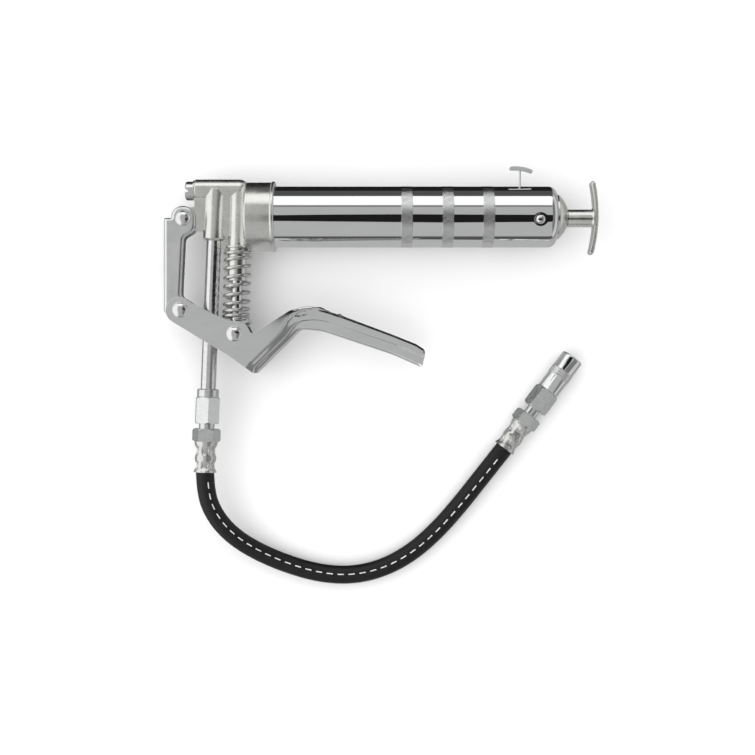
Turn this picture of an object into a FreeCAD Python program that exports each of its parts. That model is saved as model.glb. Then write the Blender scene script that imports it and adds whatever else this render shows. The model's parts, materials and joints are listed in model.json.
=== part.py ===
import FreeCAD, Part
import math
import os

# Mini pistol-grip grease gun, lying on its side on the floor. Millimetres.
# Drawing frame: X along the barrel with the tail at +X, Y across it with the lever
# at -Y, Z up, and zero on the barrel axis. The last lines move every solid so that
# the origin is on the floor under the middle of the object without its hose.

V = FreeCAD.Vector
UP = V(0, 0, 1)
TAILWARD = V(1, 0, 0)

# Where the drawing frame's zero lies in the part's own frame.
ORIGIN_TO_AXIS = V(-2.62, 67.25, 23.0)

# Barrel
BARREL_R = 19.8
BARREL_WALL = 1.0
BARREL_BORE_R = BARREL_R - BARREL_WALL
BARREL_FRONT = -80.5
BARREL_REAR = 116.9
SHOULDER_R = 5.2
KNURL_STARTS = (15.3, 41.8, 68.0)
KNURL_WIDTH = 7.5
KNURL_RISE = 0.2

# Head
COLLAR_FRONT = -86.3
COLLAR_REAR = -66.8
COLLAR_R = 22.4
LIP_R = 23.0
LIP_WIDTH = 2.4
COLLAR_FLOOR = -82.0
GALLERY_Y = 17.7
GALLERY_R = 6.85
GALLERY_END = -119.6
PUMP_FOOT = V(-91.5, -18.3, 0)
PUMP_LEAN = 1.5
PUMP_BOSS_R = 6.65
PUMP_BORE_R = 3.9
PUMP_SLEEVE_END = -41.9
SEAT_R = 8.2
SEAT_THICK = 1.2
SPRING_TOP = -20.6
PIPE_FOOT = V(-107.2, -15.9, 0)
PIPE_LEAN = 2.25
PIPE_BOSS_R = 7.35
WEB_HALF = 4.5
EAR_HALF = 4.6

# Linkage
HEAD_PIVOT = V(-126.6, -1.5, 0)
LINK_PIVOT = V(-128.1, -61.2, 0)
PLUNGER_PIVOT_Y = -76.8
SHEET = 2.0
LINK_HALF = 6.8
LEVER_HALF = 9.0
LEVER_INNER = LEVER_HALF - SHEET
RIVET_R = 3.0
RIVET_HEAD_R = 5.15
RIVET_HEAD_HIGH = 2.5
RUNNING = 0.05

# Pump
PLUNGER_R = 3.85
PLUNGER_TOP = -1.5
SPRING_R = 8.1
SPRING_WIRE_R = 1.15
SPRING_FOOT = -68.3
SPRING_PLAY = 0.08
# Turns and pitches of the closing coils at each end, and the turns between them.
SPRING_FOOT_TURNS = [(1, 2.45), (1, 3.3), (1, 4.7)]
SPRING_TOP_TURNS = [(0.5, 3.4), (1, 2.45)]
SPRING_ACTIVE_TURNS = 5.25
SPOT_FACE_R = 9.9
SPOT_FACE_DEEP = 0.4
CUP_R = 10.4
CUP_SEAT_R = 9.9
CUP_THICK = 2.0
CUP_FLATS_HALF = 6.8

# Pipe and hose ends
PIPE_R = 5.0
ADAPTER_TOP = -112.7
ADAPTER_SOCKET = 6.0
HEX_TOP = -118.2
HEX_FOOT = -135.4
FITTING_TOP = -138.7
FITTING_FOOT = -147.1
ADAPTER_FLATS = 15.0
FITTING_FLATS = 16.0
FERRULE_LENGTH = 20.1
FERRULE_BORE_R = 4.5
HOSE_R = 6.0
HOSE_SEATED = 18.1

# The hose's route, laid on the floor in one loose curve; zero height is the barrel axis.
HOSE_ROUTE = [
    V(-113.10, -165.2, 0.0), V(-113.3, -180.5, -1.0), V(-108.4, -196.6, -4.0),
    V(-98.0, -210.2, -8.2), V(-82.5, -220.6, -12.6), V(-62.0, -229.3, -15.8),
    V(-39.0, -236.2, -16.9), V(-17.0, -237.6, -16.9), V(4.0, -232.7, -16.9),
    V(23.0, -222.2, -16.9), V(39.5, -207.7, -16.8), V(54.5, -190.6, -16.0),
    V(69.0, -172.0, -14.8), V(80.9, -156.8, -14.1), V(85.64, -150.78, -14.0),
]
ARC_SHARE = 0.45

# Coupler, along the hose's far end
FAR_TURN = 52.9
FAR_MOUTH = V(84.43, -152.38, -14.0)
FAR_FITTING = 7.8
COUPLER_NECK = 5.1
COUPLER_HEX = 15.0
COUPLER_FLATS = 15.0
SLEEVE_LENGTH = 27.9
SLEEVE_R = 7.5
NIPPLE_R = 3.4

# Rear end and follower
CAP_R = 14.55
CAP_EDGE = 1.2
CAP_TOP = 124.3
PLUG_FRONT = 101.0
SPRING_SEAT = 112.0
ROD_R = 3.0
BUSH_R = 4.5
FOLLOWER_FRONT = -77.5
FOLLOWER_WIRE_R = 0.7
FOLLOWER_COIL_R = 13.0
FOLLOWER_TURNS = 8
HUB_R = 5.75
HUB_END = 141.4
HUB_LOW = -0.9
HANDLE_X = 142.8
HANDLE_HALF = 23.95
HANDLE_THICK = 3.7
HANDLE_SAG = 2.9
HANDLE_TILT = -1.5
HANDLE_DEPTH = 9.0
HANDLE_EASE = 1.2
CATCH_X = 93.4


# ---- shape helpers ----

def outline(points):
    """Closed wire in XY; a point of four numbers is reached by an arc through its last two."""
    edges = []
    here = V(points[0][0], points[0][1], 0)
    for point in points[1:] + points[:1]:
        there = V(point[0], point[1], 0)
        if len(point) == 4:
            edges.append(Part.Arc(here, V(point[2], point[3], 0), there).toShape())
        elif (there - here).Length > 1e-6:
            edges.append(Part.LineSegment(here, there).toShape())
        here = there
    return Part.Wire(edges)


def rounded(corners):
    """Closed wire in XY through (x, y, radius) corners, each eased by a tangent arc."""
    edges = []
    ends = []
    for index, (x, y, radius) in enumerate(corners):
        corner = V(x, y, 0)
        before = V(corners[index - 1][0], corners[index - 1][1], 0)
        following = corners[(index + 1) % len(corners)]
        after = V(following[0], following[1], 0)
        if radius == 0:
            ends.append((corner, corner))
            continue
        back = (before - corner).normalize()
        ahead = (after - corner).normalize()
        half = back.getAngle(ahead) / 2
        inward = (back + ahead).normalize()
        start = corner + back * (radius / math.tan(half))
        end = corner + ahead * (radius / math.tan(half))
        middle = corner + inward * (radius / math.sin(half) - radius)
        edges.append(Part.Arc(start, middle, end).toShape())
        ends.append((start, end))
    for index, (start, end) in enumerate(ends):
        leaving = ends[index - 1][1]
        if (start - leaving).Length > 1e-6:
            edges.append(Part.LineSegment(leaving, start).toShape())
    return Part.Wire(Part.__sortEdges__(edges))


def plate(wire, low, high):
    """Flat piece of the wire's shape between two heights."""
    solid = Part.Face(wire).extrude(UP * (high - low))
    solid.translate(UP * low)
    return solid


def placed(shape, base, along):
    """Move a shape made along +X so that it starts at base and runs in direction along."""
    shape.Placement = FreeCAD.Placement(base, FreeCAD.Rotation(TAILWARD, along))
    return shape


def turned(base, along, profile):
    """Solid of revolution from (distance, radius) points, closed along its axis."""
    points = [(profile[0][0], 0)] + profile + [(profile[-1][0], 0)]
    return placed(Part.Face(outline(points)).revolve(V(), TAILWARD, 360), base, along)


def rod(base, along, radius, length):
    return Part.makeCylinder(radius, length, base, along)


def tube(base, along, outer, inner, length):
    return rod(base, along, outer, length).cut(rod(base, along, inner, length))


def hexagon(base, along, flats, length, turn, bevel):
    """Hex bar with bevelled corners; turn is how far a flat is turned from facing up."""
    corner_r = flats / math.sqrt(3)
    corners = []
    for step in range(7):
        angle = math.radians(turn + 30 + 60 * step)
        corners.append(V(0, corner_r * math.sin(angle), corner_r * math.cos(angle)))
    bar = Part.Face(Part.makePolygon(corners)).extrude(TAILWARD * length)
    flat_r = flats / 2
    turned_blank = turned(V(), TAILWARD, [
        (0, flat_r), (bevel, corner_r), (length - bevel, corner_r), (length, flat_r)])
    return placed(bar.common(turned_blank), base, along)


def bent_path(points):
    """Straight runs between the points, joined by an arc as large as each pair allows."""
    edges = []
    radii = []
    here = points[0]
    for before, corner, after in zip(points, points[1:], points[2:]):
        back = before - corner
        ahead = after - corner
        reach = ARC_SHARE * min(back.Length, ahead.Length)
        half_turn = (math.pi - back.getAngle(ahead)) / 2
        radius = reach / math.tan(half_turn)
        back.normalize()
        ahead.normalize()
        start = corner + back * reach
        end = corner + ahead * reach
        middle = corner + (back + ahead).normalize() * (radius / math.cos(half_turn) - radius)
        edges.append(Part.LineSegment(here, start).toShape())
        edges.append(Part.Arc(start, middle, end).toShape())
        radii.append(radius)
        here = end
    edges.append(Part.LineSegment(here, points[-1]).toShape())
    return Part.Wire(edges), radii


def round_bar(points, radius):
    """Round bar along the bent path through the points, with the path's length and radii."""
    path, radii = bent_path(points)
    section = Part.makeCircle(radius, points[0], points[1] - points[0])
    return path.makePipeShell([Part.Wire(section)], True, False), path.Length, radii


COIL_STEPS = 8


def coil(base, along, radius, wire_r, sections):
    """Round-wire spring; sections lists (turns, pitch) from base on."""
    corner_r = radius / math.cos(math.pi / COIL_STEPS)
    points = []
    height = 0
    step = 0
    for turns, pitch in sections:
        for _ in range(round(turns * COIL_STEPS)):
            angle = 2 * math.pi * step / COIL_STEPS
            points.append(V(corner_r * math.cos(angle), corner_r * math.sin(angle), height))
            height += pitch / COIL_STEPS
            step += 1
    spring = round_bar(points, wire_r)[0]
    spring.Placement = FreeCAD.Placement(base, FreeCAD.Rotation(UP, along))
    return spring


def leaning(foot, lean, y):
    """Point at y on a line through foot that leans toward -X on its way down."""
    return V(foot.x + (y - foot.y) * math.tan(math.radians(lean)), y, 0)


def downward(lean):
    return V(-math.sin(math.radians(lean)), -math.cos(math.radians(lean)), 0)


def union(first, others):
    solid = first.multiFuse(others)
    return solid.removeSplitter()


pump_down = downward(PUMP_LEAN)
pump_up = pump_down * -1
pipe_down = downward(PIPE_LEAN)
PLUNGER_PIVOT = leaning(PUMP_FOOT, PUMP_LEAN, PLUNGER_PIVOT_Y)


# ---- head ----

BALL_R = 3.0
VALVE_SEAT_X = -99.0
VALVE_SEAT_R = 2.0
CHAMBER_R = 4.0
THREAD_R = 4.95
THREAD_END = -112.0
PORT_R = 2.0
PUMP_BORE_TOP = 14.0
SEAL_TOP = -8.0
SEAL_HIGH = 4.0
SEAL_R = 5.2
PIPE_SOCKET_TOP = -5.0


def head_casting():
    collar = turned(V(COLLAR_FRONT, 0, 0), TAILWARD, [
        (0, COLLAR_R - 1.2), (1.2, COLLAR_R),
        (COLLAR_REAR - COLLAR_FRONT - LIP_WIDTH, COLLAR_R),
        (COLLAR_REAR - COLLAR_FRONT - LIP_WIDTH + 0.6, LIP_R),
        (COLLAR_REAR - COLLAR_FRONT - 0.6, LIP_R),
        (COLLAR_REAR - COLLAR_FRONT, LIP_R - 0.6)])
    spot_top = leaning(PUMP_FOOT, PUMP_LEAN, SPRING_TOP + SPOT_FACE_DEEP)
    collar = collar.cut(rod(spot_top, pump_down, SPOT_FACE_R, 5))
    pump_top = leaning(PUMP_FOOT, PUMP_LEAN, GALLERY_Y)
    pipe_top = leaning(PIPE_FOOT, PIPE_LEAN, GALLERY_Y)
    gallery = turned(V(GALLERY_END, GALLERY_Y, 0), TAILWARD, [
        (0, GALLERY_R - 0.6), (0.6, GALLERY_R), (pump_top.x - GALLERY_END, GALLERY_R)])
    gallery_end = Part.makeSphere(GALLERY_R, pump_top)
    pump_boss = rod(pump_top, pump_down, PUMP_BOSS_R, GALLERY_Y - PUMP_SLEEVE_END)
    spring_seat = rod(leaning(PUMP_FOOT, PUMP_LEAN, SPRING_TOP + SEAT_THICK), pump_down,
                      SEAT_R, SEAT_THICK)
    pipe_length = GALLERY_Y - PIPE_FOOT.y
    pipe_boss = turned(pipe_top, pipe_down, [
        (0, PIPE_BOSS_R), (pipe_length - 1.5, PIPE_BOSS_R), (pipe_length, PIPE_BOSS_R - 1.5)])
    web = Part.makeBox(24, 30, 2 * WEB_HALF, V(-107, -13, -WEB_HALF))
    ear = plate(rounded([
        (-105, 12, 0), (GALLERY_END, 12, 0), (GALLERY_END, 6.0, 1.0), (-134.1, 6.0, 7.4),
        (-134.1, -9.0, 7.4), (-105, -9.0, 0)]), -EAR_HALF, EAR_HALF)
    body = union(collar, [
        gallery, gallery_end, pump_boss, spring_seat, pipe_boss, web, ear])

    chamber_end = V(VALVE_SEAT_X, GALLERY_Y, 0)
    cuts = [
        rod(V(COLLAR_FLOOR, 0, 0), TAILWARD, BARREL_R, COLLAR_REAR - COLLAR_FLOOR),
        rod(leaning(PUMP_FOOT, PUMP_LEAN, PUMP_BORE_TOP), pump_down, PUMP_BORE_R, 60),
        rod(leaning(PUMP_FOOT, PUMP_LEAN, SEAL_TOP), pump_down, SEAL_R, SEAL_HIGH),
        rod(V(pump_top.x, 1.5, 0), TAILWARD, PORT_R, COLLAR_FLOOR - pump_top.x + 0.5),
        rod(V(GALLERY_END, GALLERY_Y, 0), TAILWARD, THREAD_R, THREAD_END - GALLERY_END),
        rod(V(THREAD_END, GALLERY_Y, 0), TAILWARD, CHAMBER_R, VALVE_SEAT_X - THREAD_END),
        rod(chamber_end, TAILWARD, VALVE_SEAT_R, pump_top.x - VALVE_SEAT_X),
        rod(pump_top, pump_down, VALVE_SEAT_R, GALLERY_Y - PUMP_BORE_TOP + 1),
        rod(pipe_top, pipe_down, VALVE_SEAT_R, GALLERY_Y - PIPE_SOCKET_TOP),
        rod(leaning(PIPE_FOOT, PIPE_LEAN, PIPE_SOCKET_TOP), pipe_down, PIPE_R, 30),
        rod(HEAD_PIVOT - UP * 10, UP, RIVET_R + RUNNING, 20),
    ]
    for cutter in cuts:
        body = body.cut(cutter)
    return body


def check_valve_plug():
    """Slotted screw plug that closes the gallery's front end."""
    head = turned(V(-125.6, GALLERY_Y - 0.7, 0), TAILWARD, [(0, 5.5), (0.7, 6.2), (5.2, 6.2)])
    shank = rod(V(-120.4, GALLERY_Y, 0), TAILWARD, THREAD_R, THREAD_END + 120.4)
    slot = Part.makeBox(2.2, 2.6, 20, V(-125.6, GALLERY_Y - 2.0, -10))
    return head.fuse(shank).cut(slot)


def plug_washer():
    return tube(V(-120.4, GALLERY_Y, 0), TAILWARD, 6.4, THREAD_R, 0.8)


def check_valve_ball():
    stand_off = math.sqrt(BALL_R ** 2 - VALVE_SEAT_R ** 2)
    return Part.makeSphere(BALL_R, V(VALVE_SEAT_X - stand_off, GALLERY_Y, 0))


def check_valve_spring():
    start = V(THREAD_END + 0.35, GALLERY_Y, 0)
    return coil(start, TAILWARD, 2.3, 0.3, [(5, 1.35)])


def pump_seal():
    """Packing ring round the plunger."""
    return tube(leaning(PUMP_FOOT, PUMP_LEAN, SEAL_TOP), pump_down, SEAL_R, PUMP_BORE_R, SEAL_HIGH)


# ---- barrel ----

def barrel_tube():
    inner_corner = SHOULDER_R - BARREL_WALL
    outer_mid = SHOULDER_R * (1 - math.sqrt(0.5))
    inner_mid = inner_corner * (1 - math.sqrt(0.5))
    mouth_r = BARREL_R - SHOULDER_R
    profile = [(BARREL_FRONT, BARREL_BORE_R), (BARREL_FRONT, BARREL_R)]
    for start in KNURL_STARTS:
        profile += [(start, BARREL_R), (start + 0.3, BARREL_R + KNURL_RISE),
                    (start + KNURL_WIDTH - 0.3, BARREL_R + KNURL_RISE),
                    (start + KNURL_WIDTH, BARREL_R)]
    profile += [
        (BARREL_REAR - SHOULDER_R, BARREL_R),
        (BARREL_REAR, mouth_r, BARREL_REAR - outer_mid, BARREL_R - outer_mid),
        (BARREL_REAR - BARREL_WALL, mouth_r),
        (BARREL_REAR - SHOULDER_R, BARREL_BORE_R,
         BARREL_REAR - BARREL_WALL - inner_mid, BARREL_BORE_R - inner_mid)]
    body = Part.Face(outline(profile)).revolve(V(), TAILWARD, 360)
    for cutter in rivet_shanks():
        body = body.cut(cutter)
    return body.cut(rod(V(CATCH_X, 15, 0), V(0, 1, 0), 0.65, 10))


def barrel_gasket():
    return tube(V(COLLAR_FLOOR, 0, 0), TAILWARD, BARREL_R, 16.0, BARREL_FRONT - COLLAR_FLOOR)


RIVET_X = 104.7
RIVET_ANGLES = (-11.0, 109.0, 229.0)
SMALL_SHANK_R = 1.5


def outward(angle):
    """Direction away from the barrel axis, angle degrees from up toward +Y."""
    return V(0, math.sin(math.radians(angle)), math.cos(math.radians(angle)))


def rivet_shanks():
    return [rod(V(RIVET_X, 0, 0) + outward(angle) * 14.5, outward(angle), SMALL_SHANK_R, 6)
            for angle in RIVET_ANGLES]


def rear_plug_rivets():
    """Three domed rivets that hold the guide plug in the barrel."""
    pieces = []
    for angle in RIVET_ANGLES:
        out = outward(angle)
        dome = turned(V(RIVET_X, 0, 0) + out * 14.5, out, [
            (0, SMALL_SHANK_R), (5.35, SMALL_SHANK_R), (5.35, 3.0),
            (6.8, 0.01, 6.4, 2.0)])
        barrel_round = rod(V(RIVET_X - 5, 0, 0), TAILWARD, BARREL_R, 10)
        shank = rod(V(RIVET_X, 0, 0) + out * 14.5, out, SMALL_SHANK_R, 5.5)
        pieces.append(dome.cut(barrel_round).fuse(shank))
    return Part.makeCompound(pieces)


def rear_guide_plug():
    """Cast plug: a skirt inside the barrel, a shoulder behind its swaged end and a dome."""
    inner_corner = SHOULDER_R - BARREL_WALL
    inner_mid = inner_corner * (1 - math.sqrt(0.5))
    mouth_r = BARREL_R - SHOULDER_R
    skirt_r = BARREL_BORE_R
    body = turned(V(), TAILWARD, [
        (PLUG_FRONT, skirt_r), (BARREL_REAR - SHOULDER_R, skirt_r),
        (BARREL_REAR - BARREL_WALL, mouth_r,
         BARREL_REAR - BARREL_WALL - inner_mid, BARREL_BORE_R - inner_mid),
        (BARREL_REAR, mouth_r), (BARREL_REAR, CAP_R), (BARREL_REAR + CAP_EDGE, CAP_R),
        (CAP_TOP, 5.8, CAP_TOP - 2.9, 11.2)])
    body = body.cut(rod(V(PLUG_FRONT, 0, 0), TAILWARD, 15.0, SPRING_SEAT - PLUG_FRONT))
    body = body.cut(rod(V(SPRING_SEAT, 0, 0), TAILWARD, BUSH_R, 20))
    for cutter in rivet_shanks():
        body = body.cut(cutter)
    return body


def rod_bush():
    return tube(V(SPRING_SEAT, 0, 0), TAILWARD, BUSH_R, ROD_R + RUNNING, CAP_TOP - SPRING_SEAT)


# ---- follower ----

LIP_LENGTH = 5.0
WASHER_THICK = 1.2
CUP_WEB = 2.0
cup_web_x = FOLLOWER_FRONT + LIP_LENGTH - CUP_WEB
rear_washer_x = FOLLOWER_FRONT + LIP_LENGTH
ROD_FRONT = FOLLOWER_FRONT - 1.5


def follower_rod():
    return turned(V(ROD_FRONT, 0, 0), TAILWARD, [
        (0, ROD_R - 0.5), (0.5, ROD_R), (HUB_END - 3.0 - ROD_FRONT, ROD_R)])


def follower_seal():
    """Rubber cup that pushes the grease, its lip toward the head."""
    lip_r = BARREL_BORE_R - RUNNING
    cup = turned(V(FOLLOWER_FRONT, 0, 0), TAILWARD, [(0, lip_r), (LIP_LENGTH, lip_r)])
    hollow = turned(V(FOLLOWER_FRONT, 0, 0), TAILWARD, [
        (0, lip_r - 1.0), (LIP_LENGTH - CUP_WEB, lip_r - 2.2)])
    return cup.cut(hollow).cut(rod(V(FOLLOWER_FRONT, 0, 0), TAILWARD, ROD_R, LIP_LENGTH))


def follower_plates():
    """Steel washers on both faces of the cup; the rear one seats the spring."""
    front = tube(V(cup_web_x - WASHER_THICK, 0, 0), TAILWARD, 14.0, ROD_R, WASHER_THICK)
    rear = tube(V(rear_washer_x, 0, 0), TAILWARD, 16.5, ROD_R, WASHER_THICK)
    return Part.makeCompound([front, rear])


def follower_nuts():
    """Hex nuts on the rod's thread, either side of the plates."""
    front = hexagon(V(FOLLOWER_FRONT - 1.0, 0, 0), TAILWARD, 10.0, 2.8, 0, 0.5)
    rear = hexagon(V(rear_washer_x + WASHER_THICK, 0, 0), TAILWARD, 10.0, 3.2, 0, 0.5)
    bore = rod(V(FOLLOWER_FRONT - 5, 0, 0), TAILWARD, ROD_R, 20)
    return Part.makeCompound([front.cut(bore), rear.cut(bore)])


def follower_spring():
    start = rear_washer_x + WASHER_THICK + FOLLOWER_WIRE_R + 0.05
    length = SPRING_SEAT - FOLLOWER_WIRE_R - 0.05 - start
    return coil(V(start, 0, 0), TAILWARD, FOLLOWER_COIL_R, FOLLOWER_WIRE_R,
                [(FOLLOWER_TURNS, length / FOLLOWER_TURNS)])


def t_handle():
    """Cast cross bar on a hub; the bar bows toward the barrel at its ends."""
    hub_base = V(CAP_TOP + 0.05, HUB_LOW, 0)
    hub = turned(hub_base, TAILWARD, [
        (0, HUB_R - 0.5), (0.5, HUB_R), (HUB_END - CAP_TOP - 0.05, HUB_R)])
    tip_x = HANDLE_X - HANDLE_SAG
    outer = HANDLE_THICK / 2
    bar = plate(outline([
        (tip_x + outer, -HANDLE_HALF + 1.0),
        (tip_x + outer, HANDLE_HALF - 1.0, HANDLE_X + outer, 0),
        (tip_x - outer, HANDLE_HALF - 1.0, tip_x, HANDLE_HALF + 0.6),
        (tip_x - outer, -HANDLE_HALF + 1.0, HANDLE_X - outer, 0),
        (tip_x + outer, -HANDLE_HALF + 1.0, tip_x, -HANDLE_HALF - 0.6),
    ]), -HANDLE_DEPTH / 2, HANDLE_DEPTH / 2)
    bar = bar.makeFillet(HANDLE_EASE, [edge for edge in bar.Edges
                                      if edge.BoundBox.ZLength < 0.01 and edge.Length > 20])
    bar.translate(V(0, HUB_LOW, 0))
    bar.rotate(V(HANDLE_X, HUB_LOW, 0), UP, HANDLE_TILT)
    body = hub.fuse(bar)
    return body.cut(rod(V(CAP_TOP - 1, 0, 0), TAILWARD, ROD_R, HUB_END - 3.0 - CAP_TOP + 1))


# ---- catch pin ----

CATCH_TIP = 19.1
CATCH_TOP = 31.6
CATCH_STEM_R = 0.6


def catch_pin():
    return rod(V(CATCH_X, CATCH_TIP, 0), V(0, 1, 0), CATCH_STEM_R, CATCH_TOP - CATCH_TIP)


def catch_pin_handle():
    """Small bowed finger bar across the catch pin."""
    half = 7.6
    thick = 1.2
    bow = 0.8
    bar = plate(outline([
        (-half + 1, -bow - thick), (half - 1, -bow - thick, 0, -thick),
        (half - 1, -bow + thick, half, -bow), (-half + 1, -bow + thick, 0, thick),
        (-half + 1, -bow - thick, -half, -bow)]), -1.5, 1.5)
    bar.rotate(V(), UP, -8.7)
    bar.translate(V(CATCH_X + 0.8, CATCH_TOP, 0))
    return bar.cut(rod(V(CATCH_X, CATCH_TIP, 0), V(0, 1, 0), CATCH_STEM_R, CATCH_TOP - CATCH_TIP))


# ---- linkage ----

def rivet(centre, shank_r, half_grip):
    """Round rivet with a dome on both faces, half_grip from the middle to each dome."""
    dome_mid = RIVET_HEAD_HIGH * 0.78
    upper = turned(centre, UP, [
        (0, shank_r), (half_grip, shank_r), (half_grip, RIVET_HEAD_R),
        (half_grip + RIVET_HEAD_HIGH, 0.01, half_grip + dome_mid, RIVET_HEAD_R * 0.56)])
    lower = upper.mirror(centre, UP)
    return upper.fuse(lower).removeSplitter()


def link():
    """Folded steel U: two cheeks joined by a web on the front side."""
    web_x = -139.4
    cheeks = plate(rounded([
        (web_x, -1.1, 0.8), (-134.6, -1.1, 0.4), (-134.6, 6.7, 7.2), (-118.4, 6.7, 8.0), (-118.4, -9.5, 6.0),
        (-126.1, -14.0, 4.0), (-127.9, -52.0, 3.0), (-121.1, -56.0, 4.0),
        (-121.1, -68.2, 6.8), (-133.5, -68.2, 6.0), (web_x, -61.9, 3.0)]),
        -LINK_HALF, LINK_HALF)
    front_edges = [edge for edge in cheeks.Edges
                   if edge.BoundBox.XMax < web_x + 0.01 and edge.BoundBox.YLength > 20]
    body = cheeks.makeFillet(2.6, front_edges)
    gap = Part.makeBox(40, 90, 2 * (LINK_HALF - SHEET),
                       V(web_x + SHEET, -75, -(LINK_HALF - SHEET)))
    body = body.cut(gap)
    body = body.cut(rod(HEAD_PIVOT - UP * 10, UP, RIVET_R, 20))
    return body.cut(rod(LINK_PIVOT - UP * 10, UP, RIVET_R + RUNNING, 20))


LEVER_UPPER = [
    (-120.4, -57.2, 4), (-102.5, -66.0, 20), (-96.5, -68.9, 4), (-90.6, -68.6, 5),
    (-85.0, -70.8, 4), (-81.6, -77.6, 2.5), (-70.7, -70.5, 30), (-56.6, -62.8, 12),
    (-43.0, -58.8, 14), (-23.0, -64.9, 60), (10.1, -77.3, 60), (25.0, -83.3, 12),
    (31.4, -87.5, 3)]
FINGER_EDGE = [
    (29.0, -98.6, 1.5), (10.1, -90.3, 80), (-23.0, -79.2, 60), (-36.0, -74.9, 20),
    (-49.8, -73.6, 7), (-57.6, -81.8, 30), (-79.6, -103.4, 3.5)]
LEVER_FRONT = [(-98.0, -90.0, 0), (-113.7, -80.9, 60), (-140.4, -64.6, 8.3), (-131.5, -48.9, 8.3)]
FOLD_R = 3.5


def moved_inward(points, distance):
    """The corners between the first and last of a run, each moved to the run's right."""
    moved = []
    for before, corner, after in zip(points, points[1:], points[2:]):
        sides = []
        for start, end in ((before, corner), (corner, after)):
            run = V(end[0] - start[0], end[1] - start[1], 0).normalize()
            sides.append(V(run.y, -run.x, 0))
        shift = (sides[0] + sides[1]) * (distance / (1 + sides[0].dot(sides[1])))
        moved.append((corner[0] + shift.x, corner[1] + shift.y))
    return moved


def lever():
    """Sheet-steel trigger: two plates and a folded web along the finger side."""
    body = plate(rounded(LEVER_UPPER + FINGER_EDGE + LEVER_FRONT), -LEVER_HALF, LEVER_HALF)
    corner = FINGER_EDGE[-1]
    folds = [edge for edge in body.Edges
             if edge.BoundBox.ZLength < 0.01 and along_fingers(edge.CenterOfMass)]
    body = body.makeFillet(FOLD_R, folds)
    web_top = moved_inward(FINGER_EDGE + [LEVER_FRONT[0]], SHEET)
    hollow = plate(outline([(60, -30), (60, web_top[0][1])] + web_top[:-1] + [
        (corner[0], corner[1] + 1.41 * SHEET), (corner[0], -130), (-150, -130), (-150, -30)]),
        -LEVER_INNER, LEVER_INNER)
    body = body.cut(hollow)
    body = body.cut(rod(LINK_PIVOT - UP * 15, UP, RIVET_R, 30))
    return body.cut(rod(PLUNGER_PIVOT - UP * 15, UP, EYE_PIN_R, 30))


def along_fingers(point):
    """Whether a point of the outline is on the finger side, between corner and tip."""
    runs = zip(FINGER_EDGE, FINGER_EDGE[1:])
    for start, end in runs:
        foot = V(start[0], start[1], point.z)
        tip = V(end[0], end[1], point.z)
        run = tip - foot
        share = (point - foot).dot(run) / run.Length ** 2
        if 0 <= share <= 1 and (point - foot - run * share).Length < 2.0:
            return True
    return False


EYE_R = 6.5
EYE_HALF = 4.0
EYE_PIN_R = 2.5
EYE_PLAY = 0.9


def plunger():
    """Pump plunger with an eye wider than the lever's rivet, which swings on an arc in it."""
    top = leaning(PUMP_FOOT, PUMP_LEAN, PLUNGER_TOP)
    length = (PLUNGER_PIVOT - top).Length
    shaft = turned(top, pump_down, [(0, PLUNGER_R - 0.4), (0.4, PLUNGER_R), (length, PLUNGER_R)])
    eye = rod(PLUNGER_PIVOT - UP * EYE_HALF, UP, EYE_R, 2 * EYE_HALF)
    hole = rod(PLUNGER_PIVOT - UP * 10, UP, EYE_PIN_R + EYE_PLAY, 20)
    return shaft.fuse(eye).removeSplitter().cut(hole)


def spring_cup():
    """Dished washer that the return spring pushes down against the plunger's eye; its two
    flats let it sit between the lever's plates."""
    base = leaning(PUMP_FOOT, PUMP_LEAN, SPRING_FOOT)
    cup = turned(base, pump_down, [(-1.2, CUP_R), (0.9, CUP_R), (CUP_THICK, CUP_R - 1.1)])
    between_plates = Part.makeBox(40, 40, 2 * CUP_FLATS_HALF, base - V(20, 20, CUP_FLATS_HALF))
    seat = rod(base - pump_down * 1.2, pump_down, CUP_SEAT_R, 1.2)
    cup = cup.common(between_plates).cut(seat)
    return cup.cut(rod(base - pump_down * 5, pump_down, PLUNGER_R, 10))


def return_spring():
    stand_off = SPRING_WIRE_R + SPRING_PLAY
    base = leaning(PUMP_FOOT, PUMP_LEAN, SPRING_FOOT) + pump_up * stand_off
    room = (leaning(PUMP_FOOT, PUMP_LEAN, SPRING_TOP) - base).Length - stand_off
    rest = sum(turns * pitch for turns, pitch in SPRING_FOOT_TURNS + SPRING_TOP_TURNS)
    active = [(SPRING_ACTIVE_TURNS, (room - rest) / SPRING_ACTIVE_TURNS)]
    return coil(base, pump_up, SPRING_R, SPRING_WIRE_R,
                SPRING_FOOT_TURNS + active + SPRING_TOP_TURNS)


def plunger_spacers():
    """Two rings that centre the plunger's eye between the lever's plates."""
    low = tube(PLUNGER_PIVOT - UP * (LEVER_INNER - 0.05), UP, 4.6, EYE_PIN_R, 2.85)
    high = tube(PLUNGER_PIVOT + UP * (EYE_HALF + 0.1), UP, 4.6, EYE_PIN_R, 2.85)
    return Part.makeCompound([low, high])


# ---- pipe and hose ----

def extension_pipe():
    top = leaning(PIPE_FOOT, PIPE_LEAN, PIPE_SOCKET_TOP)
    foot = leaning(PIPE_FOOT, PIPE_LEAN, ADAPTER_TOP) + pipe_down * ADAPTER_SOCKET
    return tube(top, pipe_down, PIPE_R, 2.5, (foot - top).Length)


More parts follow.
